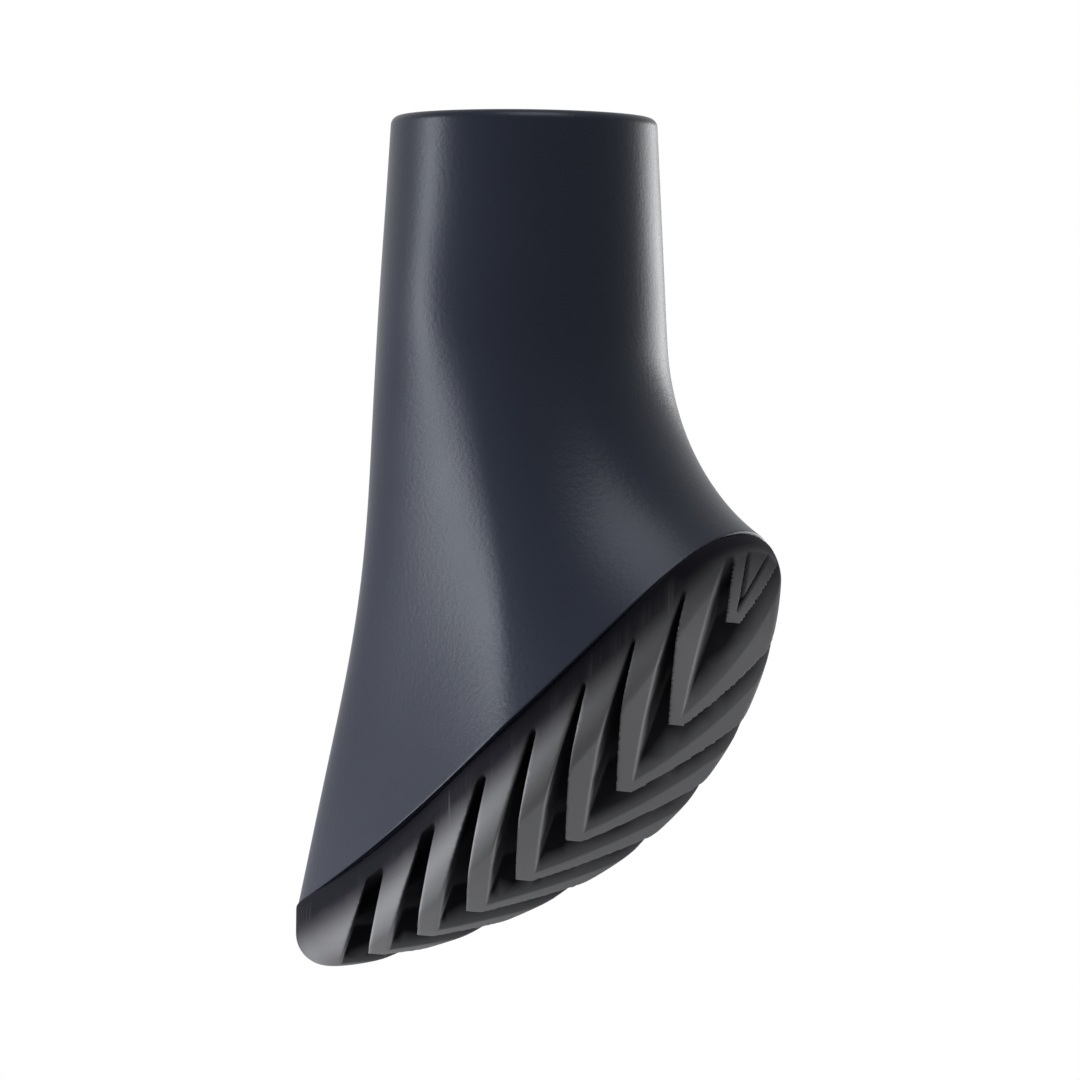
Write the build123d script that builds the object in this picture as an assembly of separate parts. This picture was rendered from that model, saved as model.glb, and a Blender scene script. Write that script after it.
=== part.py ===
"""Rubber boot for the tip of a trekking or Nordic walking pole.

One moulded piece. A round collar takes the pole's end, the body flares down
to a slanted lip, and below the lip sits the sole with its chevron tread.

Frame, in millimetres: +Z runs up the pole, +X points to the heel, and the
origin is the centre of the mouth.
"""
from build123d import *
import math
import os

# Collar and bore
COLLAR_RADIUS = 9.25         # at the collar's lower end
COLLAR_DRAFT = 0.75          # by which the rim is smaller
COLLAR_LENGTH = 13.5
RIM_ROUND = 0.6
RIM_TURN = 65                # degrees that the rim's round turns before it meets the wall
BORE_RADIUS = 5.5
BORE_DEPTH = 30.0

# Body below the collar: its sections tip from level to a slant that runs past the lip
HEEL_FLARE_RADIUS = 16.2     # arc of the heel side, in side view
HEEL_FLARE_SLOPE = 1.6       # where the arc turns into a straight run: outward for each mm down
HEEL_END_DEPTH = 20.0        # of the last section, below the collar
TOE_TAPER = 0.062            # outward for each mm down, along the whole toe side
TOE_FLARE_START = 11.0       # depth below the collar where the toe side's arc begins
TOE_FLARE_RADIUS = 75.0
TOE_FLARE_SLOPE = 0.173
TOE_END_DEPTH = 46.0
END_HALF_WIDTH = 15.4        # the last section's, at its widest
END_TOE_RADIUS = 3.2
END_CENTRE = 6.7             # where the last section is widest, along X
WIDENING = 3                 # power with which the half width grows down the body
TOE_BLEND = 0.95             # share of an outline's front half that turns from ellipse to toe

# Lip: the slanted arc where the body ends, in side view
LIP_RADIUS = 58.3
LIP_CENTRE = (-32.9, 4.9)

# Sole
CREST_RADIUS = 39.65         # of the tread, in side view
CREST_CENTRE = (-20.75, -15.4)
SOLE_FRONT = -15.05
SOLE_BACK = 17.2
SOLE_HALF_WIDTH = 12.0
SOLE_TOE_RADIUS = 4.6
SHOULDER = 2.0               # round between the side band and the tread
HEEL_TOP = -25.8             # height of the sole's heel, which stands out behind the body
HEEL_ROUND = 3.9

# Tread
GROOVES = 9
FIRST_APEX = -12.3           # first groove's apex, along X on the tread
PITCH = 3.4
FIRST_SWEEP = 0.46           # how far an arm runs toward the heel for each millimetre outward
SWEEP_LOSS = 0.02            # from each groove to the next
LEAN = 0.36                  # toward the heel for each millimetre up
NOSE_HALF_LENGTH = 1.1       # flat nose of each rib
GROOVE_DEPTH = 2.2
GROOVE_WIDTH = 1.75          # at the apex, on the tread
GROOVE_STOP = 1.3            # plain band between the grooves and the lip
BLADE_HEIGHT = 16.0          # from the tread up to where a blade has passed the lip
BLADE_TIP_WIDTH = 0.07       # of a blade at its top, as a blade thins upward

# Construction
OUTLINE_POINTS = 24          # through which each body outline is drawn
BODY_SECTIONS = 8
REACH = 60.0                 # larger than the boot, for cutting shapes
OVERRUN = 4.0                # how far a cutting blade passes the faces that it cuts


def flare(depth, radius, slope):
    """Outward move of an arc at a depth below its start, straight past a slope."""
    bend = radius * slope / math.hypot(1, slope)
    curved = min(max(depth, 0), bend)
    return radius - math.sqrt(radius**2 - curved**2) + slope * max(depth - curved, 0)


def outline_point(angle, front, back, centre, half_width, toe_radius):
    """Point of a body outline: a half ellipse at the heel, a circle at the toe."""
    cosine, sine = math.cos(angle), math.sin(angle)
    heel = (centre + (back - centre) * cosine, half_width * sine)
    toe = (front + toe_radius * (1 + cosine), toe_radius * sine)
    share = min(max(1 + cosine / TOE_BLEND, 0), 1)
    share = share**2 * (3 - 2 * share)
    return [share * of_heel + (1 - share) * of_toe for of_heel, of_toe in zip(heel, toe)]


def body_section(front, back, centre, half_width, toe_radius):
    """Closed outline in the slanted plane through the front and back points, each (x, z)."""
    slope = (back[1] - front[1]) / (back[0] - front[0])
    points = []
    for step in range(OUTLINE_POINTS):
        angle = 2 * math.pi * step / OUTLINE_POINTS
        x, y = outline_point(angle, front[0], back[0], centre, half_width, toe_radius)
        points.append((x, y, front[1] + slope * (x - front[0])))
    return Wire([Edge.make_spline(points, periodic=True)])


def body_form():
    """Loft from above the rim down the collar and on past the lip."""
    sections = []
    for share in (-0.5, 0, 0.5, 1):
        radius = COLLAR_RADIUS - COLLAR_DRAFT * (1 - share)
        depth = -COLLAR_LENGTH * share
        sections.append(body_section((-radius, depth), (radius, depth), 0, radius, radius))
    for step in range(1, BODY_SECTIONS + 1):
        share = step / BODY_SECTIONS
        toe_depth = TOE_END_DEPTH * share
        heel_depth = HEEL_END_DEPTH * share
        toe_bend = flare(toe_depth - TOE_FLARE_START, TOE_FLARE_RADIUS, TOE_FLARE_SLOPE)
        toe_reach = COLLAR_RADIUS + TOE_TAPER * toe_depth + toe_bend
        heel_reach = COLLAR_RADIUS + flare(heel_depth, HEEL_FLARE_RADIUS, HEEL_FLARE_SLOPE)
        front = (-toe_reach, -COLLAR_LENGTH - toe_depth)
        back = (heel_reach, -COLLAR_LENGTH - heel_depth)
        half_width = COLLAR_RADIUS + (END_HALF_WIDTH - COLLAR_RADIUS) * share**WIDENING
        toe_radius = COLLAR_RADIUS + (END_TOE_RADIUS - COLLAR_RADIUS) * share
        sections.append(body_section(front, back, END_CENTRE * share, half_width, toe_radius))
    return Solid.make_loft(sections)


def drum(radius, centre):
    """Cylinder that lies across the boot, centred at (x, z) in side view."""
    plane = Plane(origin=(centre[0], REACH, centre[1]), z_dir=(0, -1, 0))
    return Solid.make_cylinder(radius, 2 * REACH, plane)


def rim_former():
    """Solid of revolution that rounds the rim's outer edge and holds all below it."""
    middle = (COLLAR_RADIUS - COLLAR_DRAFT - RIM_ROUND, -RIM_ROUND)
    arc = []
    for turn in (0, RIM_TURN / 2, RIM_TURN):
        angle = math.radians(turn)
        arc.append((middle[0] + RIM_ROUND * math.sin(angle), middle[1] + RIM_ROUND * math.cos(angle)))
    run = math.radians(RIM_TURN)
    far = (arc[-1][0] + REACH * math.cos(run), arc[-1][1] - REACH * math.sin(run))
    profile = make_face(
        [
            ThreePointArc(*arc),
            Line(arc[-1], far),
            Line(far, (0, far[1])),
            Line((0, far[1]), (0, 0)),
            Line((0, 0), arc[0]),
        ]
    )
    return revolve(Plane.XZ * profile, Axis.Z)


def sole_outline(inset):
    """Plan outline of the sole: two arcs joined by their tangents."""
    toe = SOLE_FRONT + SOLE_TOE_RADIUS
    heel = SOLE_BACK - SOLE_HALF_WIDTH
    toe_radius = SOLE_TOE_RADIUS - inset
    heel_radius = SOLE_HALF_WIDTH - inset
    turn = math.asin((heel_radius - toe_radius) / (heel - toe))
    heel_x, heel_y = heel - heel_radius * math.sin(turn), heel_radius * math.cos(turn)
    toe_x, toe_y = toe - toe_radius * math.sin(turn), toe_radius * math.cos(turn)
    return make_face(
        [
            ThreePointArc((heel_x, -heel_y), (heel + heel_radius, 0), (heel_x, heel_y)),
            Line((heel_x, heel_y), (toe_x, toe_y)),
            ThreePointArc((toe_x, toe_y), (toe - toe_radius, 0), (toe_x, -toe_y)),
            Line((toe_x, -toe_y), (heel_x, -heel_y)),
        ]
    )


def sole_block(inset):
    """Sole with every face moved in by the inset, rounded at the tread and at the heel's top."""
    outline = sole_outline(inset)
    widest_round = SOLE_TOE_RADIUS - inset
    upper = extrude(Plane.XY.offset(HEEL_TOP - inset) * outline, amount=REACH, dir=(0, 0, -1))
    top = upper.faces().sort_by(Axis.Z)[-1]
    upper = upper.fillet(min(HEEL_ROUND - inset, widest_round), top.edges())
    lower = extrude(outline, amount=REACH, dir=(0, 0, -1)) & drum(CREST_RADIUS - inset, CREST_CENTRE)
    if SHOULDER > inset:
        tread = lower.faces().sort_by(Axis.Z)[0]
        lower = lower.fillet(min(SHOULDER - inset, widest_round), tread.edges())
    return upper & lower


def sole():
    """Sole before its grooves, below the lip."""
    return sole_block(0) - drum(LIP_RADIUS, LIP_CENTRE)


def blade(index):
    """Blade that cuts one chevron groove, thinning upward."""
    apex = FIRST_APEX + PITCH * index
    sweep = FIRST_SWEEP - SWEEP_LOSS * index
    crest = CREST_CENTRE[1] - math.sqrt(CREST_RADIUS**2 - (apex - CREST_CENTRE[0]) ** 2)
    far = SOLE_HALF_WIDTH + OVERRUN
    thinning = (GROOVE_WIDTH - BLADE_TIP_WIDTH) / BLADE_HEIGHT
    levels = []
    for height in (-OVERRUN, BLADE_HEIGHT):
        width = GROOVE_WIDTH - thinning * height
        front = apex + LEAN * height
        nose = front + sweep * NOSE_HALF_LENGTH + width
        arm = sweep * (far - NOSE_HALF_LENGTH)
        corners = [
            (front, 0),
            (front + sweep * far, far),
            (nose + arm, far),
            (nose, NOSE_HALF_LENGTH),
            (nose, -NOSE_HALF_LENGTH),
            (nose + arm, -far),
            (front + sweep * far, -far),
        ]
        levels.append(Wire.make_polygon([(x, y, crest + height) for x, y in corners], close=True))
    return Solid.make_loft(levels, ruled=True)


def grooves():
    """The chevron grooves, all of one depth, which stop short of the lip."""
    core = sole_block(GROOVE_DEPTH)
    band = drum(LIP_RADIUS + GROOVE_STOP, LIP_CENTRE)
    return [blade(index) - core - band for index in range(GROOVES)]


def bore():
    """Blind hole for the pole's end."""
    return Solid.make_cylinder(BORE_RADIUS, BORE_DEPTH, Plane((0, 0, -BORE_DEPTH)))


def rubber_boot():
    """The whole boot."""
    body = body_form() & drum(LIP_RADIUS, LIP_CENTRE) & rim_former()
    boot = body + sole()
    for groove in grooves():
        boot = boot - groove
    return boot - bore()


if __name__ == "__main__":
    os.makedirs("parts", exist_ok=True)
    export_step(rubber_boot(), "parts/rubber_boot.step")
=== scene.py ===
"""Dresses the rubber boot of a walking pole's tip for rendering.

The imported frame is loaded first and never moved. Two detailed pieces then
stand for its one node: the body, from the mouth down to the slanted lip, and
the sole with its chevron tread. Lengths are in metres in the row's frame:
+Z up the pole, +X toward the heel, the origin at the centre of the mouth.
"""

import logging
import math
from dataclasses import dataclass, field
from enum import Enum

import bmesh
import bpy
import numpy as np
from mathutils import Matrix, Vector

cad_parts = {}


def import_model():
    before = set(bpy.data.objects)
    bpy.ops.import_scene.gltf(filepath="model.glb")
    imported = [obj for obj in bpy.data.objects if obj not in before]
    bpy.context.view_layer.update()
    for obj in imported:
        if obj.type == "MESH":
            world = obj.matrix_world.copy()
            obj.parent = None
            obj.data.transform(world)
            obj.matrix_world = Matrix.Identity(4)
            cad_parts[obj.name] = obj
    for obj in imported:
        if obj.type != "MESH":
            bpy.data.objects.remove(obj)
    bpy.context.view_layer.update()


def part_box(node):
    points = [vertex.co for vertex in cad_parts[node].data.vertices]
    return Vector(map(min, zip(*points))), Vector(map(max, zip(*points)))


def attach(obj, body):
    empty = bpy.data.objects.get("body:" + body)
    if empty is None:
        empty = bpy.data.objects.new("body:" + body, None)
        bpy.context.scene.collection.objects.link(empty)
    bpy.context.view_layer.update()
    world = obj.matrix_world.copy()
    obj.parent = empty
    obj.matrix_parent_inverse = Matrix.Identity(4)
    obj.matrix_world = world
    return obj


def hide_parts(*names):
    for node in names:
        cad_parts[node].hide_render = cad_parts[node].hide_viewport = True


LOG = logging.getLogger("pole_boot")
MM = 0.001
NODE = "rubber_boot"
BODY = "root"
Pair = tuple[float, float]
Colour = tuple[float, float, float]


class Finish(Enum):
    """The boot's two moulded surfaces."""

    BODY = "satin body rubber"
    TREAD = "tread rubber"


# ---------------------------------------------------------------- mesh helpers
def mesh_object(name: str, rows: list[np.ndarray], fan_ends: bool = True) -> bpy.types.Object:
    """Makes a closed tube-like mesh from rings of points.

    Args:
        name: The new object's name.
        rows: Rings with the same number of points, from one end to the other.
        fan_ends: Whether each end ring is closed with a fan to its middle. An end
            ring that is folded flat on itself closes without one.

    Returns:
        The object, at the origin and linked to the scene.
    """
    mesh = bpy.data.meshes.new(name)
    bm = bmesh.new()
    rings = [[bm.verts.new(point) for point in row] for row in rows]
    for upper, lower in zip(rings, rings[1:]):
        for here in range(len(upper)):
            there = (here + 1) % len(upper)
            bm.faces.new((upper[here], upper[there], lower[there], lower[here]))
    if fan_ends:
        for ring in (rings[0], rings[-1]):
            middle = bm.verts.new(sum((v.co for v in ring), Vector()) / len(ring))
            for here in range(len(ring)):
                bm.faces.new((ring[here], ring[(here + 1) % len(ring)], middle))
    bmesh.ops.remove_doubles(bm, verts=bm.verts, dist=0.001 * MM)
    bmesh.ops.recalc_face_normals(bm, faces=bm.faces)
    for face in bm.faces:
        face.smooth = True
    bm.to_mesh(mesh)
    bm.free()
    return add_object(name, mesh)


def add_object(name: str, mesh: bpy.types.Mesh) -> bpy.types.Object:
    """Puts a mesh into the scene as an object at the origin."""
    piece = bpy.data.objects.new(name, mesh)
    bpy.context.scene.collection.objects.link(piece)
    return piece


def apply_modifiers(piece: bpy.types.Object) -> None:
    """Turns a piece's modifiers into its plain mesh."""
    graph = bpy.context.evaluated_depsgraph_get()
    mesh = bpy.data.meshes.new_from_object(piece.evaluated_get(graph))
    old = piece.data
    piece.modifiers.clear()
    piece.data = mesh
    mesh.name = old.name
    bpy.data.meshes.remove(old)


def combine(piece: bpy.types.Object, tool: bpy.types.Object, operation: str) -> None:
    """Cuts or trims a piece with another closed mesh, which is used up.

    The two are worked on in millimetres, because the exact solver merges
    points that lie closer than it can tell apart in metres.

    Args:
        piece: The mesh that is changed.
        tool: The mesh that changes it.
        operation: DIFFERENCE or INTERSECT.
    """
    for item in (piece, tool):
        item.data.transform(Matrix.Scale(1 / MM, 4))
    modifier = piece.modifiers.new("combine", "BOOLEAN")
    modifier.operation = operation
    modifier.solver = "EXACT"
    modifier.object = tool
    apply_modifiers(piece)
    piece.data.transform(Matrix.Scale(MM, 4))
    bpy.data.objects.remove(tool)


def join(piece: bpy.types.Object, others: list[bpy.types.Object]) -> None:
    """Adds the meshes of other objects to a piece and removes them."""
    bm = bmesh.new()
    for item in (piece, *others):
        bm.from_mesh(item.data)
    bm.to_mesh(piece.data)
    bm.free()
    for item in others:
        bpy.data.objects.remove(item)


def circle(radius: float, height: float, count: int) -> np.ndarray:
    """Ring of points about the pole's axis, counted from the heel round."""
    turn = np.linspace(0, 2 * math.pi, count, endpoint=False)
    return np.column_stack((radius * np.cos(turn), radius * np.sin(turn), np.full(count, height)))


def natural_spline(stations: np.ndarray, knots: np.ndarray, at: np.ndarray) -> np.ndarray:
    """Natural cubic curve through stations.

    Args:
        stations: Values to pass through, one row for each knot.
        knots: Rising parameters of the stations.
        at: Parameters to read the curve at.

    Returns:
        One row for each parameter in at.
    """
    gaps = np.diff(knots)
    count = len(knots)
    matrix = np.eye(count)
    rhs = np.zeros_like(stations)
    slopes = np.diff(stations, axis=0) / gaps[:, None]
    for k in range(1, count - 1):
        matrix[k, k - 1 : k + 2] = gaps[k - 1], 2 * (gaps[k - 1] + gaps[k]), gaps[k]
        rhs[k] = 6 * (slopes[k] - slopes[k - 1])
    bends = np.linalg.solve(matrix, rhs)
    span = np.clip(np.searchsorted(knots, at, side="right") - 1, 0, count - 2)
    gap, left, right = gaps[span], at - knots[span], knots[span + 1] - at
    gap, left, right = gap[:, None], left[:, None], right[:, None]
    low, high = stations[span], stations[span + 1]
    bend_low, bend_high = bends[span], bends[span + 1]
    curve = bend_low * right**3 / (6 * gap) + bend_high * left**3 / (6 * gap)
    curve += (low / gap - bend_low * gap / 6) * right
    curve += (high / gap - bend_high * gap / 6) * left
    return curve


def fade(value: np.ndarray, none: float, full: float) -> np.ndarray:
    """Smooth step from 0 to 1 as a value goes from none to full."""
    share = np.clip((value - none) / (full - none), 0, 1)
    return share**2 * (3 - 2 * share)


def flare(depth: float, radius: float, slope: float) -> float:
    """Outward move of an arc at a depth below its start, straight past a slope."""
    bend = radius * slope / math.hypot(1, slope)
    curved = min(max(depth, 0), bend)
    return radius - math.sqrt(radius**2 - curved**2) + slope * max(depth - curved, 0)


# ------------------------------------------------------------------- the boot
@dataclass(frozen=True)
class Lip:
    """Slanted arc, in side view, where the body ends and the sole begins."""

    radius: float = 58.3 * MM
    centre_x: float = -32.9 * MM
    centre_z: float = 4.9 * MM
    reach: float = 30.0 * MM
    facets: int = 720

    def height(self, x: np.ndarray) -> np.ndarray:
        """Height of the lip above a place along X."""
        return self.centre_z - np.sqrt(self.radius**2 - (x - self.centre_x) ** 2)

    def farthest(self) -> float:
        """Place along X up to which the arc is read, just short of its end."""
        return self.radius + self.centre_x - MM

    def drum(self, below: float) -> bpy.types.Object:
        """Round tool that lies across the boot and reaches a little below the lip.

        Args:
            below: How far below the lip its surface lies.

        Returns:
            The tool, a closed cylinder.
        """
        turn = np.linspace(0, 2 * math.pi, self.facets, endpoint=False)
        x = self.centre_x + (self.radius + below) * np.cos(turn)
        z = self.centre_z + (self.radius + below) * np.sin(turn)
        sides = [np.column_stack((x, np.full(self.facets, y), z)) for y in (-self.reach, self.reach)]
        return mesh_object("drum", sides)


@dataclass(frozen=True)
class Body:
    """The collar, its bore and the flared body, down to the lip."""

    lip: Lip
    collar_radius: float = 9.25 * MM
    collar_draft: float = 0.75 * MM
    collar_length: float = 13.5 * MM
    rim_round: float = 0.6 * MM
    bore_radius: float = 5.5 * MM
    bore_depth: float = 30.0 * MM
    mouth_round: float = 0.3 * MM
    heel_flare_radius: float = 16.2 * MM
    heel_flare_slope: float = 1.6
    heel_end_depth: float = 20.0 * MM
    toe_taper: float = 0.062
    toe_flare_start: float = 11.0 * MM
    toe_flare_radius: float = 75.0 * MM
    toe_flare_slope: float = 0.173
    toe_end_depth: float = 46.0 * MM
    end_half_width: float = 15.4 * MM
    end_toe_radius: float = 3.2 * MM
    end_centre: float = 6.7 * MM
    widening: int = 3
    toe_blend: float = 0.95
    lip_round: float = 0.12 * MM
    sections: int = 8
    columns: int = 224
    rows: int = 120

    def outline(self, front: Pair, back: Pair, centre: float, half_width: float, toe: float) -> np.ndarray:
        """Ring in the slanted plane through two points of the side view.

        Args:
            front: Foremost point, as (x, z).
            back: Rearmost point, as (x, z).
            centre: Where the ring is widest, along X.
            half_width: Half of its width there.
            toe: Radius of its round at the toe.

        Returns:
            The ring's points: a half ellipse at the heel that turns into a circle at the toe.
        """
        turn = np.linspace(0, 2 * math.pi, self.columns, endpoint=False)
        cosine, sine = np.cos(turn), np.sin(turn)
        share = np.clip(1 + cosine / self.toe_blend, 0, 1)
        share = share**2 * (3 - 2 * share)
        x = share * (centre + (back[0] - centre) * cosine) + (1 - share) * (front[0] + toe * (1 + cosine))
        y = (share * half_width + (1 - share) * toe) * sine
        slope = (back[1] - front[1]) / (back[0] - front[0])
        return np.column_stack((x, y, front[1] + slope * (x - front[0])))

    def stations(self) -> np.ndarray:
        """Rings that the outer wall passes through, from above the rim to below the lip."""
        rings = []
        for share in (-0.5, 0, 0.5, 1):
            radius = self.collar_radius - self.collar_draft * (1 - share)
            rings.append(circle(radius, -self.collar_length * share, self.columns))
        for step in range(1, self.sections + 1):
            share = step / self.sections
            toe_depth, heel_depth = self.toe_end_depth * share, self.heel_end_depth * share
            toe_bend = flare(toe_depth - self.toe_flare_start, self.toe_flare_radius, self.toe_flare_slope)
            toe_reach = self.collar_radius + self.toe_taper * toe_depth + toe_bend
            heel_reach = self.collar_radius + flare(heel_depth, self.heel_flare_radius, self.heel_flare_slope)
            front = (-toe_reach, -self.collar_length - toe_depth)
            back = (heel_reach, -self.collar_length - heel_depth)
            wider = (self.end_half_width - self.collar_radius) * share**self.widening
            half_width = self.collar_radius + wider
            toe = self.collar_radius + (self.end_toe_radius - self.collar_radius) * share
            rings.append(self.outline(front, back, self.end_centre * share, half_width, toe))
        return np.array(rings)

    def wall(self) -> np.ndarray:
        """Outer wall as rows of points from below the rim's round to the lip."""
        stations = self.stations()
        steps = np.linalg.norm(np.diff(stations, axis=0), axis=2).mean(axis=1)
        knots = np.concatenate(([0], np.cumsum(steps)))
        fine = np.linspace(0, knots[-1], 600)
        shares = np.linspace(0, 1, self.rows)
        wall = np.empty((self.rows, self.columns, 3))
        for column in range(self.columns):
            path = natural_spline(stations[:, column], knots, fine)
            start = np.interp(self.rim_round, -path[:, 2], fine)
            above = path[:, 2] - self.lip.height(np.minimum(path[:, 0], self.lip.farthest()))
            last = int(np.argmax(above < 0))
            reach = above[last - 1] / (above[last - 1] - above[last])
            end = fine[last - 1] + reach * (fine[last] - fine[last - 1])
            wall[:, column] = natural_spline(stations[:, column], knots, start + (end - start) * shares)
        return wall

    def lip_rows(self, wall: np.ndarray) -> list[np.ndarray]:
        """Rows that round the lip's edge and close the body below it."""
        edge = wall[-1]
        middle = np.array([self.end_centre * 0.6, 0.0])
        inward = np.column_stack((middle - edge[:, :2], np.zeros(len(edge))))
        inward /= np.linalg.norm(inward, axis=1)[:, None]
        inner = edge + inward * self.lip_round
        inner[:, 2] = self.lip.height(inner[:, 0])
        along = edge - wall[-4]
        along /= np.linalg.norm(along, axis=1)[:, None]
        upper = edge - along * self.lip_round
        rows = []
        for share in np.linspace(0, 1, 6):
            bend = (1 - share) ** 2 * upper + 2 * share * (1 - share) * edge + share**2 * inner
            rows.append(bend)
        for share in (0.15, 0.4, 0.7, 0.95):
            x = inner[:, 0] + (middle[0] - inner[:, 0]) * share
            y = inner[:, 1] * (1 - share)
            rows.append(np.column_stack((x, y, self.lip.height(x))))
        return rows

    def build(self) -> bpy.types.Object:
        """Makes the body as one closed mesh."""
        count = self.columns
        rows = []
        for height in np.linspace(-self.bore_depth, -self.mouth_round, 12):
            rows.append(circle(self.bore_radius, height, count))
        for turn in np.linspace(0, math.pi / 2, 5)[1:]:
            radius = self.bore_radius + self.mouth_round * (1 - math.cos(turn))
            rows.append(circle(radius, self.mouth_round * (math.sin(turn) - 1), count))
        wall = self.wall()
        rim_outside = float(np.hypot(wall[0, :, 0], wall[0, :, 1]).mean())
        rim_middle = rim_outside - self.rim_round
        for turn in np.linspace(0, math.pi / 2, 9)[:-1]:
            radius = rim_middle + self.rim_round * math.sin(turn)
            rows.append(circle(radius, self.rim_round * (math.cos(turn) - 1), count))
        short = np.linalg.norm(wall - wall[-1], axis=2).min(axis=1) > 1.6 * self.lip_round
        rows.extend(wall[short])
        rows.extend(self.lip_rows(wall))
        return mesh_object("boot_body", rows)


@dataclass(frozen=True)
class Sole:
    """The sole below the lip, before its grooves: round heel top, side band, shoulder and tread."""

    lip: Lip
    crest_radius: float = 39.65 * MM
    crest_x: float = -20.75 * MM
    crest_z: float = -15.4 * MM
    front: float = -15.05 * MM
    back: float = 17.2 * MM
    half_width: float = 12.0 * MM
    toe_radius: float = 4.6 * MM
    shoulder: float = 2.0 * MM
    least_shoulder: float = 0.4 * MM
    heel_top: float = -25.8 * MM
    heel_round: float = 3.9 * MM
    overrun: float = 10.0 * MM

    def columns(self, inset: float) -> tuple[np.ndarray, np.ndarray, np.ndarray]:
        """Plan outline as spine points, radii about them and outward directions.

        Args:
            inset: How far the outline is moved in.

        Returns:
            Spine points (x, y), radii and unit directions (x, y), one for each column.
        """
        toe, heel = self.front + self.toe_radius, self.back - self.half_width
        turn = math.pi / 2 + math.asin((self.half_width - self.toe_radius) / (heel - toe))
        parts = [
            (heel, heel, -turn, turn, 144),
            (heel, toe, turn, turn, 48),
            (toe, toe, turn, 2 * math.pi - turn, 40),
            (toe, heel, -turn, -turn, 48),
        ]
        spine, radii, outward = [], [], []
        for start, end, first, last, count in parts:
            for share in np.linspace(0, 1, count, endpoint=False):
                x = start + (end - start) * share
                to_heel = (x - toe) / (heel - toe)
                angle = first + (last - first) * share
                spine.append((x, 0.0))
                radii.append(self.toe_radius + (self.half_width - self.toe_radius) * to_heel - inset)
                outward.append((math.cos(angle), math.sin(angle)))
        return np.array(spine), np.array(radii), np.array(outward)

    def tread(self, x: np.ndarray, inset: float) -> np.ndarray:
        """Height of the tread's arc, moved in by the inset."""
        return self.crest_z - np.sqrt((self.crest_radius - inset) ** 2 - (x - self.crest_x) ** 2)

    def upper(self, inset: float) -> bpy.types.Object:
        """Prism of the outline with a rounded top, which shapes the heel."""
        spine, radii, outward = self.columns(inset)
        top, size = self.heel_top - inset, self.heel_round - inset

        def row(reach: np.ndarray, height: float) -> np.ndarray:
            return np.column_stack((spine + outward * reach[:, None], np.full(len(reach), height)))

        rows = [row((radii - size) * share, top) for share in np.linspace(0, 1, 6)]
        for turn in np.linspace(0, math.pi / 2, 24)[1:]:
            rows.append(row(radii - size * (1 - math.sin(turn)), top - size * (1 - math.cos(turn))))
        bottom = self.crest_z - self.crest_radius - self.overrun
        rows += [row(radii * share, bottom) for share in (1, 0)]
        return mesh_object("sole_upper", rows, fan_ends=False)

    def lower(self, inset: float) -> bpy.types.Object:
        """Prism of the outline with the curved tread below it and a rolled shoulder between them."""
        spine, radii, outward = self.columns(inset)
        size = max(self.shoulder - inset, self.least_shoulder)
        ball = spine + outward * (radii - size)[:, None]
        ball = np.column_stack((ball, self.tread(ball[:, 0], inset + size)))
        side = np.column_stack((outward, np.zeros(len(radii))))
        down = (ball - np.array([self.crest_x, 0, self.crest_z])) * np.array([1, 0, 1])
        down /= np.linalg.norm(down, axis=1)[:, None]
        turn = np.arccos(np.clip(np.einsum("ij,ij->i", side, down), -1, 1))[:, None]

        rows = []
        for share in (0, 1):
            reach = spine + outward * (radii * share)[:, None]
            rows.append(np.column_stack((reach, np.zeros(len(radii)))))
        for share in np.linspace(0, 1, 14):
            roll = np.sin((1 - share) * turn) * side + np.sin(share * turn) * down
            rows.append(ball + size * roll / np.sin(turn))
        edge = rows[-1][:, :2]
        for share in np.linspace(1, 0, 26)[1:]:
            points = spine + (edge - spine) * share
            rows.append(np.column_stack((points, self.tread(points[:, 0], inset))))
        return mesh_object("sole_block", rows, fan_ends=False)

    def depth(self, x: np.ndarray, y: np.ndarray, z: np.ndarray) -> np.ndarray:
        """How far points lie inside the sole's outline, its tread or the rolled shoulder between them."""
        toe, heel = self.front + self.toe_radius, self.back - self.half_width
        slant = (self.half_width - self.toe_radius) / (heel - toe)
        run = math.sqrt(1 - slant**2)
        along, out = heel - x, np.abs(y)
        at_side = run * out + slant * along - self.half_width
        share = run * along - slant * out
        at_heel = np.hypot(out, along) - self.half_width
        at_toe = np.hypot(out, along - (heel - toe)) - self.toe_radius
        side = np.where(share < 0, at_heel, np.where(share > run * (heel - toe), at_toe, at_side))
        tread = np.hypot(x - self.crest_x, z - self.crest_z) - self.crest_radius
        from_side = np.maximum(self.shoulder + side, 0)
        from_tread = np.maximum(self.shoulder + tread, 0)
        return self.shoulder - np.hypot(from_side, from_tread)

    def block(self, inset: float) -> bpy.types.Object:
        """The whole sole with every face moved in by the inset, still standing above the lip."""
        block = self.lower(inset)
        combine(block, self.upper(inset), "INTERSECT")
        return block


class Formula:
    """Writes arithmetic into a node tree, one Math node for each operation."""

    def __init__(self, tree: bpy.types.NodeTree) -> None:
        """Keeps the tree that the nodes go into."""
        self.tree = tree

    def put(self, operation: str, *values: object) -> bpy.types.NodeSocket:
        """Adds one Math node.

        Args:
            operation: The node's operation, such as ADD.
            values: A socket or a number for each input.

        Returns:
            The node's result.
        """
        node = self.tree.nodes.new("ShaderNodeMath")
        node.operation = operation
        for socket, value in zip(node.inputs, values):
            if isinstance(value, bpy.types.NodeSocket):
                self.tree.links.new(value, socket)
            else:
                socket.default_value = value
        return node.outputs[0]

    def sum(self, *values: object) -> bpy.types.NodeSocket:
        """Adds up several values."""
        total = values[0]
        for value in values[1:]:
            total = self.put("ADD", total, value)
        return total


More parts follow.
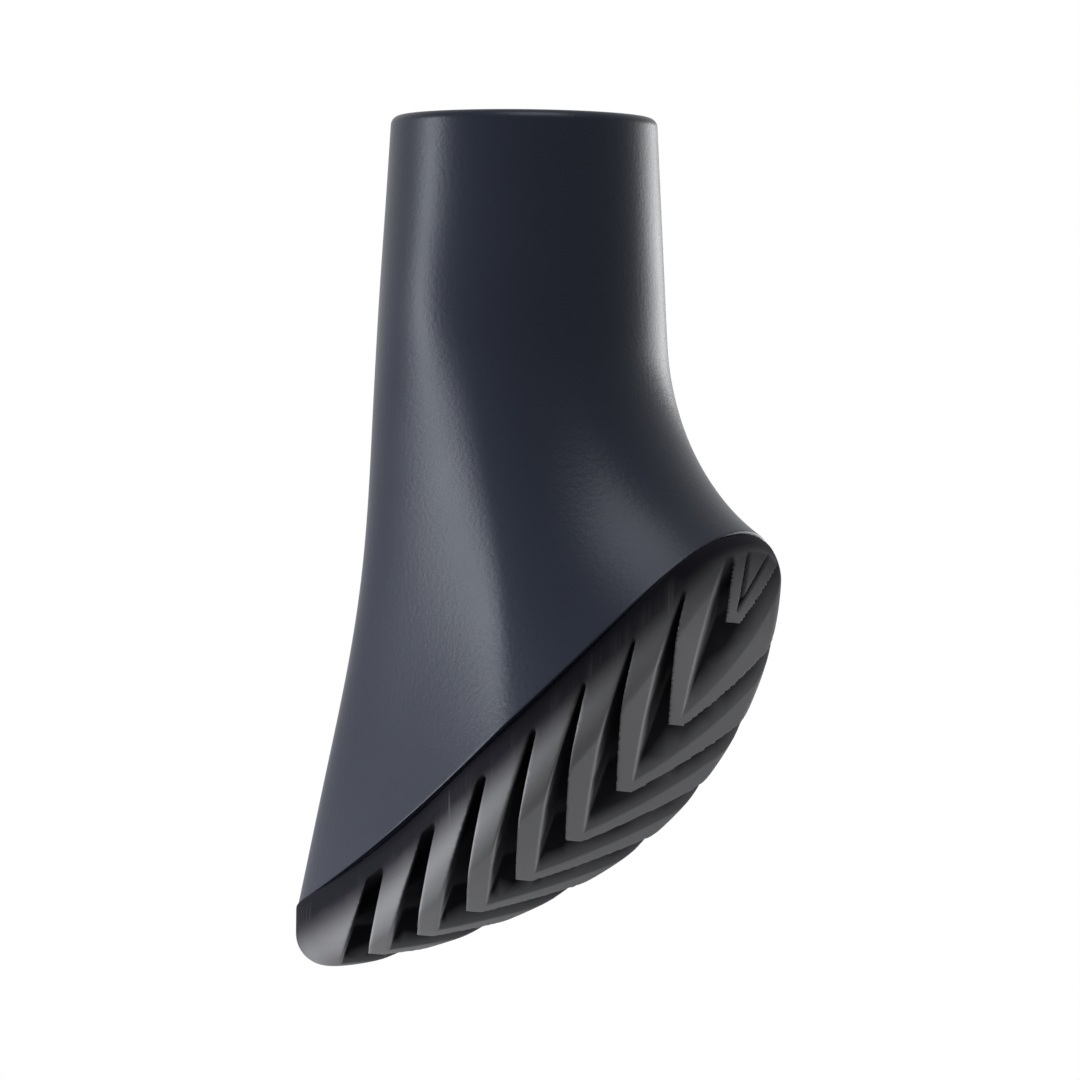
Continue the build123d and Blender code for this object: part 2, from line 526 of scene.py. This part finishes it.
@dataclass(frozen=True)
class Chevrons:
    """The drafted blades that cut the chevron grooves, placed by Geometry Nodes."""

    sole: Sole
    count: int = 8
    first_apex: float = -12.3 * MM
    pitch: float = 3.4 * MM
    first_sweep: float = 0.46
    sweep_loss: float = 0.02
    lean: float = 0.36
    nose_half_length: float = 1.1 * MM
    width: float = 1.75 * MM
    height: float = 12.3 * MM
    tip_width: float = 0.15 * MM
    overrun: float = 4.0 * MM
    depth: float = 2.2 * MM
    stop: float = 1.3 * MM

    def template(self) -> bpy.types.Mesh:
        """Unit blade: X is 0 on its front and 1 on its back, Y is true, Z is 0 below and 1 above."""
        far = self.sole.half_width + self.overrun
        across = (-far, -self.nose_half_length, 0.0, self.nose_half_length, far)
        bm = bmesh.new()
        ring = [(0.0, y) for y in across] + [(1.0, y) for y in reversed(across)]
        lower = [bm.verts.new((x, y, 0.0)) for x, y in ring]
        upper = [bm.verts.new((x, y, 1.0)) for x, y in ring]
        for here in range(len(ring)):
            there = (here + 1) % len(ring)
            bm.faces.new((lower[here], lower[there], upper[there], upper[here]))
        for here in range(len(across) - 1):
            far_side = len(ring) - 1 - here
            for level in (lower, upper):
                bm.faces.new((level[here], level[here + 1], level[far_side - 1], level[far_side]))
        bmesh.ops.recalc_face_normals(bm, faces=bm.faces)
        mesh = bpy.data.meshes.new("unit_blade")
        bm.to_mesh(mesh)
        bm.free()
        return mesh

    def settings(self) -> dict[str, float]:
        """Named inputs of the node tree and their values."""
        return {
            "First apex": self.first_apex,
            "Pitch": self.pitch,
            "First sweep": self.first_sweep,
            "Sweep loss": self.sweep_loss,
            "Lean": self.lean,
            "Nose half length": self.nose_half_length,
            "Width": self.width,
            "Height": self.height,
            "Tip width": self.tip_width,
            "Overrun": self.overrun,
            "Crest radius": self.sole.crest_radius,
            "Crest X": self.sole.crest_x,
            "Crest Z": self.sole.crest_z,
        }

    def tree(self) -> bpy.types.NodeTree:
        """Builds the node tree that repeats the unit blade and gives each copy its own form."""
        tree = bpy.data.node_groups.new("chevron_blades", "GeometryNodeTree")
        tree.interface.new_socket("Geometry", in_out="INPUT", socket_type="NodeSocketGeometry")
        tree.interface.new_socket("Count", in_out="INPUT", socket_type="NodeSocketInt")
        for name in self.settings():
            tree.interface.new_socket(name, in_out="INPUT", socket_type="NodeSocketFloat")
        tree.interface.new_socket("Material", in_out="INPUT", socket_type="NodeSocketMaterial")
        tree.interface.new_socket("Geometry", in_out="OUTPUT", socket_type="NodeSocketGeometry")
        add, link = tree.nodes.new, tree.links.new
        given, result = add("NodeGroupInput"), add("NodeGroupOutput")

        line = add("GeometryNodeMeshLine")
        line.inputs["Offset"].default_value = (0, 0, 0)
        link(given.outputs["Count"], line.inputs["Count"])
        place = add("GeometryNodeStoreNamedAttribute")
        place.domain = "POINT"
        place.inputs["Name"].default_value = "place"
        link(line.outputs[0], place.inputs["Geometry"])
        link(add("GeometryNodeInputIndex").outputs[0], place.inputs["Value"])
        copies = add("GeometryNodeInstanceOnPoints")
        link(place.outputs[0], copies.inputs["Points"])
        link(given.outputs["Geometry"], copies.inputs["Instance"])
        real = add("GeometryNodeRealizeInstances")
        link(copies.outputs[0], real.inputs[0])

        read = add("GeometryNodeInputNamedAttribute")
        read.inputs["Name"].default_value = "place"
        spot = add("ShaderNodeSeparateXYZ")
        link(add("GeometryNodeInputPosition").outputs[0], spot.inputs[0])
        side, across, level = spot.outputs
        index = read.outputs["Attribute"]
        f, value = Formula(tree), given.outputs
        apex = f.put("ADD", value["First apex"], f.put("MULTIPLY", value["Pitch"], index))
        sweep = f.put("SUBTRACT", value["First sweep"], f.put("MULTIPLY", value["Sweep loss"], index))
        reach = f.put("SUBTRACT", apex, value["Crest X"])
        square = f.put("MULTIPLY", value["Crest radius"], value["Crest radius"])
        arc = f.put("SQRT", f.put("SUBTRACT", square, f.put("MULTIPLY", reach, reach)))
        crest = f.put("SUBTRACT", value["Crest Z"], arc)
        rise = f.put("MULTIPLY", level, f.put("ADD", value["Overrun"], value["Height"]))
        above = f.put("SUBTRACT", rise, value["Overrun"])
        height = f.put("ADD", crest, above)
        thinning = f.put("DIVIDE", f.put("SUBTRACT", value["Width"], value["Tip width"]), value["Height"])
        width = f.put("SUBTRACT", value["Width"], f.put("MULTIPLY", thinning, above))
        outward = f.put("ABSOLUTE", across)
        arm_front = f.put("MULTIPLY", sweep, outward)
        nose = f.put("MAXIMUM", outward, value["Nose half length"])
        arm_back = f.put("ADD", width, f.put("MULTIPLY", sweep, nose))
        arm = f.put(
            "ADD",
            f.put("MULTIPLY", side, arm_back),
            f.put("MULTIPLY", f.put("SUBTRACT", 1.0, side), arm_front),
        )
        along = f.sum(apex, arm, f.put("MULTIPLY", value["Lean"], above))
        position = add("ShaderNodeCombineXYZ")
        for socket, part in zip(position.inputs, (along, across, height)):
            link(part, socket)
        move = add("GeometryNodeSetPosition")
        link(real.outputs[0], move.inputs["Geometry"])
        link(position.outputs[0], move.inputs["Position"])
        dress = add("GeometryNodeSetMaterial")
        link(move.outputs[0], dress.inputs["Geometry"])
        link(given.outputs["Material"], dress.inputs["Material"])
        link(dress.outputs[0], result.inputs[0])
        return tree

    def build(self, material: bpy.types.Material) -> bpy.types.Object:
        """Makes all the blades as one plain mesh object.

        Args:
            material: The finish that the grooves get.

        Returns:
            The cutter, a stand-in that is removed once it has cut.
        """
        source = add_object("blade_source", self.template())
        modifier = source.modifiers.new("chevrons", "NODES")
        modifier.node_group = self.tree()
        values = {"Count": self.count, "Material": material, **self.settings()}
        for item in modifier.node_group.interface.items_tree:
            if item.in_out == "INPUT" and item.name in values:
                modifier[item.identifier] = values[item.name]
        graph = bpy.context.evaluated_depsgraph_get()
        mesh = bpy.data.meshes.new_from_object(source.evaluated_get(graph))
        mesh.name = "groove_blades"
        bpy.data.objects.remove(source)
        return add_object("groove_blades", mesh)


@dataclass(frozen=True)
class HeelSlit:
    """The last, narrow chevron, which is cut straight into the steep end of the tread."""

    nose: float = -31.9 * MM
    top: float = -25.0 * MM
    half_spread: float = 3.3 * MM
    width: float = 0.42 * MM
    front: float = 12.0 * MM
    back: float = 20.0 * MM

    def build(self) -> bpy.types.Object:
        """Makes the V-shaped cutter, which lies along the boot."""
        lift = self.width * math.hypot(self.half_spread, self.top - self.nose) / self.half_spread
        outline = [
            (0.0, self.nose),
            (self.half_spread, self.top),
            (self.half_spread, self.top + lift),
            (0.0, self.nose + lift),
            (-self.half_spread, self.top + lift),
            (-self.half_spread, self.top),
        ]
        bm = bmesh.new()
        ends = [[bm.verts.new((x, y, z)) for y, z in outline] for x in (self.front, self.back)]
        for here in range(len(outline)):
            there = (here + 1) % len(outline)
            bm.faces.new((ends[0][here], ends[0][there], ends[1][there], ends[1][here]))
        for end in ends:
            bm.faces.new(end[:4])
            bm.faces.new((end[0], end[3], end[4], end[5]))
        bmesh.ops.recalc_face_normals(bm, faces=bm.faces)
        mesh = bpy.data.meshes.new("heel_slit")
        bm.to_mesh(mesh)
        bm.free()
        return add_object("heel_slit", mesh)


@dataclass(frozen=True)
class Tread:
    """The sole with its grooves cut, and with the soft edges of moulded rubber."""

    sole: Sole
    chevrons: Chevrons
    heel_slit: HeelSlit
    voxel: float = 0.1 * MM
    smoothing: int = 6
    core_drop: float = 0.3 * MM
    triangles: int = 190_000
    # The next four lengths shape the painted light-and-shade mask: a painted highlight on the crests, painted
    # shade in the groove floors and painted shadow of the lip's overhang.
    crest_depth: float = 0.15 * MM
    floor_depth: float = 0.7 * MM
    painted_lip_shade_full: float = 1.2 * MM
    painted_lip_shade_end: float = 5.0 * MM

    def mark_painted_light(self, piece: bpy.types.Object) -> None:
        """Stores a painted light-and-shade mask on each point: 1 on the ribs' crests, which are painted
        lighter, and 0 in the grooves and in a band under the lip, which are painted shade.
        """
        places = np.empty(len(piece.data.vertices) * 3)
        piece.data.vertices.foreach_get("co", places)
        x, y, z = places.reshape(-1, 3).T
        # Painted shade in the groove floors: the mask falls to 0 as points sink into the grooves.
        sunk = fade(self.sole.depth(x, y, z), self.floor_depth, self.crest_depth)
        # Painted shadow under the lip's overhang: the mask is 0 just below the lip and rises to 1 further
        # down.
        low = fade(self.sole.lip.height(x) - z, self.painted_lip_shade_full, self.painted_lip_shade_end)
        crest = piece.data.attributes.new("crest", "FLOAT", "POINT")
        crest.data.foreach_set("value", sunk * low)

    def build(self, material: bpy.types.Material) -> bpy.types.Object:
        """Makes the grooved sole as one closed mesh.

        The blades cut right through the sole. Its core, which is the sole moved
        in by the grooves' depth, then gives every groove its floor, and the
        plain band below the lip gives it its upper end. The remesh makes the
        three one.

        Args:
            material: The tread's finish.

        Returns:
            The finished piece.
        """
        lip = self.sole.lip
        sole = self.sole.block(0.0)
        combine(sole, lip.drum(0.0), "DIFFERENCE")
        band = add_object("band", sole.data.copy())
        combine(band, lip.drum(self.chevrons.stop), "INTERSECT")
        core = self.sole.block(self.chevrons.depth)
        combine(core, lip.drum(self.core_drop), "DIFFERENCE")
        combine(sole, self.chevrons.build(material), "DIFFERENCE")
        combine(sole, self.heel_slit.build(), "DIFFERENCE")
        join(sole, [core, band])
        sole.name = sole.data.name = "boot_sole"
        remesh = sole.modifiers.new("mould", "REMESH")
        remesh.mode = "VOXEL"
        remesh.voxel_size = self.voxel
        remesh.use_smooth_shade = True
        soften = sole.modifiers.new("soft edges", "SMOOTH")
        soften.factor = 0.5
        soften.iterations = self.smoothing
        apply_modifiers(sole)
        sole.data.calc_loop_triangles()
        thin = sole.modifiers.new("fewer faces", "DECIMATE")
        thin.ratio = min(1.0, self.triangles / len(sole.data.loop_triangles))
        apply_modifiers(sole)
        self.mark_painted_light(sole)
        return sole


# -------------------------------------------------------------------- finishes
CLOUD_SCALE = 160.0
SPECK_SCALE = 260.0
SPECK_SIZE = 0.045
SPECK_COLOUR = (0.32, 0.33, 0.35, 1)
GRAIN_RELIEF = 0.02 * MM


def moulded_surface() -> bpy.types.NodeTree:
    """Shader group for moulded rubber: cloudy colour, a painted highlight and painted shade mixed by a mask,
    uneven polish, fine grain and dust specks.
    """
    tree = bpy.data.node_groups.new("moulded_surface", "ShaderNodeTree")
    inputs = (
        ("Colour", "NodeSocketColor", (0.05, 0.05, 0.06, 1)),
        # The second colour is a painted highlight, mixed in where the Crest mask is 1; where it is 0 the
        # first colour stands, which on the tread is painted shade.
        ("Crest painted light", "NodeSocketColor", (0.05, 0.05, 0.06, 1)),
        ("Crest", "NodeSocketFloat", 0.0),
        ("Cloud", "NodeSocketFloat", 0.1),
        ("Roughness", "NodeSocketFloat", 0.45),
        ("Polish change", "NodeSocketFloat", 0.06),
        ("Floor dullness", "NodeSocketFloat", 0.0),
        ("Grain size", "NodeSocketFloat", 5000.0),
        ("Grain depth", "NodeSocketFloat", 0.1),
        ("Dust", "NodeSocketFloat", 0.0),
    )
    for name, kind, value in inputs:
        tree.interface.new_socket(name, in_out="INPUT", socket_type=kind).default_value = value
    outputs = (
        ("Colour", "NodeSocketColor"),
        ("Roughness", "NodeSocketFloat"),
        ("Normal", "NodeSocketVector"),
    )
    for name, kind in outputs:
        tree.interface.new_socket(name, in_out="OUTPUT", socket_type=kind)
    add, link = tree.nodes.new, tree.links.new
    given, result = add("NodeGroupInput"), add("NodeGroupOutput")
    where = add("ShaderNodeTexCoord").outputs["Object"]
    f = Formula(tree)

    clouds = add("ShaderNodeTexNoise")
    clouds.inputs["Scale"].default_value = CLOUD_SCALE
    clouds.inputs["Detail"].default_value = 4.0
    link(where, clouds.inputs["Vector"])
    cloud = f.put("SUBTRACT", clouds.outputs["Fac"], 0.5)
    lightness = f.put("ADD", 1.0, f.put("MULTIPLY", cloud, f.put("MULTIPLY", given.outputs["Cloud"], 2.0)))
    # Painted light and shade: the Crest mask mixes the painted highlight colour over the base colour.
    painted_light_mix = add("ShaderNodeMix")
    painted_light_mix.data_type = "RGBA"
    link(given.outputs["Crest"], painted_light_mix.inputs["Factor"])
    link(given.outputs["Colour"], painted_light_mix.inputs[6])
    link(given.outputs["Crest painted light"], painted_light_mix.inputs[7])
    tone = add("ShaderNodeVectorMath")
    tone.operation = "SCALE"
    link(painted_light_mix.outputs[2], tone.inputs[0])
    link(lightness, tone.inputs["Scale"])

    specks = add("ShaderNodeTexVoronoi")
    specks.inputs["Scale"].default_value = SPECK_SCALE
    link(where, specks.inputs["Vector"])
    pick = add("ShaderNodeSeparateColor")
    link(specks.outputs["Color"], pick.inputs[0])
    reach = f.put("MULTIPLY", pick.outputs[0], SPECK_SIZE)
    small = f.put("LESS_THAN", specks.outputs["Distance"], reach)
    kept = f.put("MULTIPLY", small, f.put("LESS_THAN", pick.outputs[1], given.outputs["Dust"]))
    dusty = add("ShaderNodeMix")
    dusty.data_type = "RGBA"
    link(kept, dusty.inputs["Factor"])
    link(tone.outputs[0], dusty.inputs[6])
    dusty.inputs[7].default_value = SPECK_COLOUR
    link(dusty.outputs[2], result.inputs["Colour"])

    polish = f.put("MULTIPLY", cloud, f.put("MULTIPLY", given.outputs["Polish change"], 2.0))
    sunk = f.put("SUBTRACT", 1.0, given.outputs["Crest"])
    dull = f.put("MULTIPLY", sunk, given.outputs["Floor dullness"])
    link(f.sum(given.outputs["Roughness"], polish, dull), result.inputs["Roughness"])

    grain = add("ShaderNodeTexNoise")
    grain.inputs["Detail"].default_value = 3.0
    link(where, grain.inputs["Vector"])
    link(given.outputs["Grain size"], grain.inputs["Scale"])
    bump = add("ShaderNodeBump")
    bump.inputs["Distance"].default_value = GRAIN_RELIEF
    link(given.outputs["Grain depth"], bump.inputs["Strength"])
    link(grain.outputs["Fac"], bump.inputs["Height"])
    link(bump.outputs[0], result.inputs["Normal"])
    return tree


@dataclass(frozen=True)
class Rubber:
    """One finish of the boot's rubber, made from the shared moulded surface."""

    colour: Colour
    # Painted highlight colour, laid on where the crest mask is 1.
    crest_painted_light: Colour
    gloss: float
    gloss_tint: Colour
    cloud: float
    roughness: float
    polish_change: float
    floor_dullness: float
    grain_size: float
    grain_depth: float
    dust: float

    def material(self, finish: Finish, surface: bpy.types.NodeTree) -> bpy.types.Material:
        """Builds the material.

        Args:
            finish: Which surface it is for, which names it.
            surface: The shared shader group.

        Returns:
            The new material.
        """
        material = bpy.data.materials.new(finish.value)
        material.use_nodes = True
        nodes, links = material.node_tree.nodes, material.node_tree.links
        shader = nodes["Principled BSDF"]
        group = nodes.new("ShaderNodeGroup")
        group.node_tree = surface
        values = {
            "Colour": (*self.colour, 1),
            "Crest painted light": (*self.crest_painted_light, 1),
            "Cloud": self.cloud,
            "Roughness": self.roughness,
            "Polish change": self.polish_change,
            "Floor dullness": self.floor_dullness,
            "Grain size": self.grain_size,
            "Grain depth": self.grain_depth,
            "Dust": self.dust,
        }
        for name, value in values.items():
            group.inputs[name].default_value = value
        # The crest mask, which paints a highlight on the tread's crests and shade in its grooves and under
        # the lip.
        crest = nodes.new("ShaderNodeAttribute")
        crest.attribute_name = "crest"
        links.new(crest.outputs["Fac"], group.inputs["Crest"])
        shader.inputs["Specular IOR Level"].default_value = self.gloss
        shader.inputs["Specular Tint"].default_value = (*self.gloss_tint, 1)
        links.new(group.outputs["Colour"], shader.inputs["Base Color"])
        links.new(group.outputs["Roughness"], shader.inputs["Roughness"])
        links.new(group.outputs["Normal"], shader.inputs["Normal"])
        return material


FINISHES = {
    Finish.BODY: Rubber(
        colour=(0.006, 0.0075, 0.013),
        crest_painted_light=(0.006, 0.0075, 0.013),
        gloss=0.13,
        gloss_tint=(0.82, 0.88, 1.0),
        cloud=0.08,
        roughness=0.36,
        polish_change=0.04,
        floor_dullness=0.0,
        grain_size=3200.0,
        grain_depth=0.7,
        dust=0.05,
    ),
    Finish.TREAD: Rubber(
        # The tread's near-black is painted shade in the grooves and under the lip, and the lighter grey is a
        # painted highlight on the crests.
        colour=(0.003, 0.003, 0.005),
        crest_painted_light=(0.1, 0.101, 0.108),
        gloss=0.08,
        gloss_tint=(1.0, 1.0, 1.0),
        cloud=0.15,
        roughness=0.65,
        polish_change=0.06,
        floor_dullness=0.4,
        grain_size=4200.0,
        grain_depth=0.4,
        dust=0.01,
    ),
}


# ---------------------------------------------------------------------- studio
@dataclass(frozen=True)
class Lamp:
    """A rectangular softbox that faces the boot."""

    name: str
    turn: float          # degrees round the boot from the -Y side, toward +X
    lift: float          # degrees above the boot
    distance: float
    width: float
    height: float
    power: float

    def place(self, target: Vector) -> None:
        """Adds the lamp to the scene, aimed at a point."""
        data = bpy.data.lights.new(self.name, "AREA")
        data.shape = "RECTANGLE"
        data.size, data.size_y = self.width, self.height
        data.energy = self.power
        lamp = bpy.data.objects.new(self.name, data)
        turn, lift = math.radians(self.turn), math.radians(self.lift)
        away = Vector((math.sin(turn) * math.cos(lift), -math.cos(turn) * math.cos(lift), math.sin(lift)))
        lamp.location = target + away * self.distance
        lamp.rotation_euler = away.to_track_quat("Z", "Y").to_euler()
        lamp.visible_camera = False
        bpy.context.scene.collection.objects.link(lamp)


@dataclass(frozen=True)
class Studio:
    """Camera, pale floor, softboxes and the room's light."""

    azimuth: float = 25.0
    distance: float = 1.5
    camera_height: float = -100.0 * MM
    aim_right: float = 1.29 * MM
    aim_height: float = -27.05 * MM
    view_width: float = 69.0 * MM
    sensor: float = 36.0
    roll: float = 0.6
    floor_height: float = -0.16
    floor_size: float = 6.0
    floor_grey: float = 0.8
    floor_bounce: float = 0.3
    backdrop_span: Pair = (-1.0, -0.35)
    backdrop_light: Pair = (1.0, 0.12)
    ceiling_span: Pair = (0.25, 0.9)
    ceiling_light: Pair = (0.0, 0.7)
    lamps: tuple[Lamp, ...] = field(
        default=(
            Lamp("overhead", 40, 60, 0.6, 0.4, 0.4, 4.0),
            Lamp("left strip", -62, 4, 0.6, 0.16, 0.4, 4.8),
            Lamp("right rear", 162, 0, 0.7, 0.45, 0.3, 2.6),
            Lamp("low left", -48, -30, 0.12, 0.05, 0.05, 0.26),
        )
    )

    def camera(self) -> None:
        """Adds the camera, level with the boot's lower end and turned to its near side."""
        turn = math.radians(self.azimuth)
        right = Vector((math.cos(turn), math.sin(turn), 0))
        toward = Vector((math.sin(turn), -math.cos(turn), 0))
        data = bpy.data.cameras.new("camera")
        camera = bpy.data.objects.new("camera", data)
        camera.location = toward * self.distance + Vector((0, 0, self.camera_height))
        target = right * self.aim_right + Vector((0, 0, self.aim_height))
        line = target - camera.location
        look = line.to_track_quat("-Z", "Y").to_matrix().to_4x4()
        spin = Matrix.Rotation(math.radians(self.roll), 4, "Z")
        camera.matrix_world = Matrix.Translation(camera.location) @ look @ spin
        data.sensor_width = self.sensor
        data.lens = self.sensor * line.length / self.view_width
        data.clip_start, data.clip_end = 0.01, 20.0
        bpy.context.scene.collection.objects.link(camera)
        bpy.context.scene.camera = camera

    def seen(self, tree: bpy.types.NodeTree) -> bpy.types.NodeSocket:
        """Adds a mask that is 1 for camera, glossy and transmission rays, and 0 for the rest.

        Args:
            tree: The tree that it goes into.

        Returns:
            The mask.
        """
        f = Formula(tree)
        path = tree.nodes.new("ShaderNodeLightPath")
        mirrored = f.put("MAXIMUM", path.outputs["Is Glossy Ray"], path.outputs["Is Transmission Ray"])
        return f.put("MAXIMUM", path.outputs["Is Camera Ray"], mirrored)

    def floor(self) -> None:
        """Adds the pale floor, which looks white and still takes the boot's shadow."""
        bpy.ops.mesh.primitive_plane_add(size=self.floor_size, location=(0, 0, self.floor_height))
        floor = bpy.context.object
        floor.name = "floor"
        material = bpy.data.materials.new("pale floor")
        material.use_nodes = True
        nodes, links = material.node_tree.nodes, material.node_tree.links
        shader = nodes["Principled BSDF"]
        shader.inputs["Roughness"].default_value = 0.9
        tone = nodes.new("ShaderNodeMix")
        tone.inputs["A"].default_value = self.floor_bounce
        tone.inputs["B"].default_value = self.floor_grey
        links.new(self.seen(material.node_tree), tone.inputs["Factor"])
        links.new(tone.outputs["Result"], shader.inputs["Base Color"])
        floor.data.materials.append(material)

    def ramp(
        self, tree: bpy.types.NodeTree, value: bpy.types.NodeSocket, span: Pair, ends: Pair
    ) -> bpy.types.NodeSocket:
        """Adds a smooth ramp to a node tree.

        Args:
            tree: The tree that it goes into.
            value: What drives it.
            span: The values at which it starts and ends.
            ends: Its results there.

        Returns:
            Its result.
        """
        node = tree.nodes.new("ShaderNodeMapRange")
        node.interpolation_type = "SMOOTHSTEP"
        node.inputs["From Min"].default_value, node.inputs["From Max"].default_value = span
        node.inputs["To Min"].default_value, node.inputs["To Max"].default_value = ends
        tree.links.new(value, node.inputs["Value"])
        return node.outputs["Result"]

    def room(self) -> None:
        """Lights the room: a white backdrop, a soft ceiling, and little light from the camera's side."""
        world = bpy.data.worlds.new("room")
        world.use_nodes = True
        bpy.context.scene.world = world
        tree = world.node_tree
        nodes, links = tree.nodes, tree.links
        f = Formula(tree)
        where = nodes.new("ShaderNodeTexCoord").outputs["Object"]
        turn = math.radians(self.azimuth)
        facing = nodes.new("ShaderNodeVectorMath")
        facing.operation = "DOT_PRODUCT"
        links.new(where, facing.inputs[0])
        facing.inputs[1].default_value = (math.sin(turn), -math.cos(turn), 0)
        backdrop = self.ramp(tree, facing.outputs["Value"], self.backdrop_span, self.backdrop_light)
        split = nodes.new("ShaderNodeSeparateXYZ")
        links.new(where, split.inputs[0])
        ceiling = self.ramp(tree, split.outputs["Z"], self.ceiling_span, self.ceiling_light)
        light = f.put("ADD", backdrop, ceiling)
        strength = nodes.new("ShaderNodeMix")
        links.new(self.seen(tree), strength.inputs["Factor"])
        links.new(light, strength.inputs["A"])
        strength.inputs["B"].default_value = 1.0
        background = nodes["Background"]
        background.inputs["Color"].default_value = (1, 1, 1, 1)
        links.new(strength.outputs["Result"], background.inputs["Strength"])

    def build(self, target: Vector) -> None:
        """Sets the whole studio up round a point."""
        self.camera()
        self.floor()
        self.room()
        for lamp in self.lamps:
            lamp.place(target)
        bpy.context.scene.view_settings.view_transform = "Standard"


def dress(piece: bpy.types.Object, material: bpy.types.Material) -> None:
    """Gives a finished piece its material and puts it in the CAD node's place."""
    piece.data.materials.clear()
    piece.data.materials.append(material)
    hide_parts(NODE)
    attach(piece, BODY)
    LOG.info("%s: %d faces, stands for %s", piece.name, len(piece.data.polygons), NODE)


def main() -> None:
    """Loads the frame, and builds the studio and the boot."""
    logging.basicConfig(level=logging.INFO, format="%(name)s: %(message)s")
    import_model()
    low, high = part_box(NODE)
    Studio().build((low + high) / 2)

    surface = moulded_surface()
    materials = {finish: rubber.material(finish, surface) for finish, rubber in FINISHES.items()}
    lip = Lip()
    sole = Sole(lip)
    dress(Body(lip).build(), materials[Finish.BODY])
    tread = Tread(sole, Chevrons(sole), HeelSlit())
    dress(tread.build(materials[Finish.TREAD]), materials[Finish.TREAD])


if __name__ == "__main__":
    main()
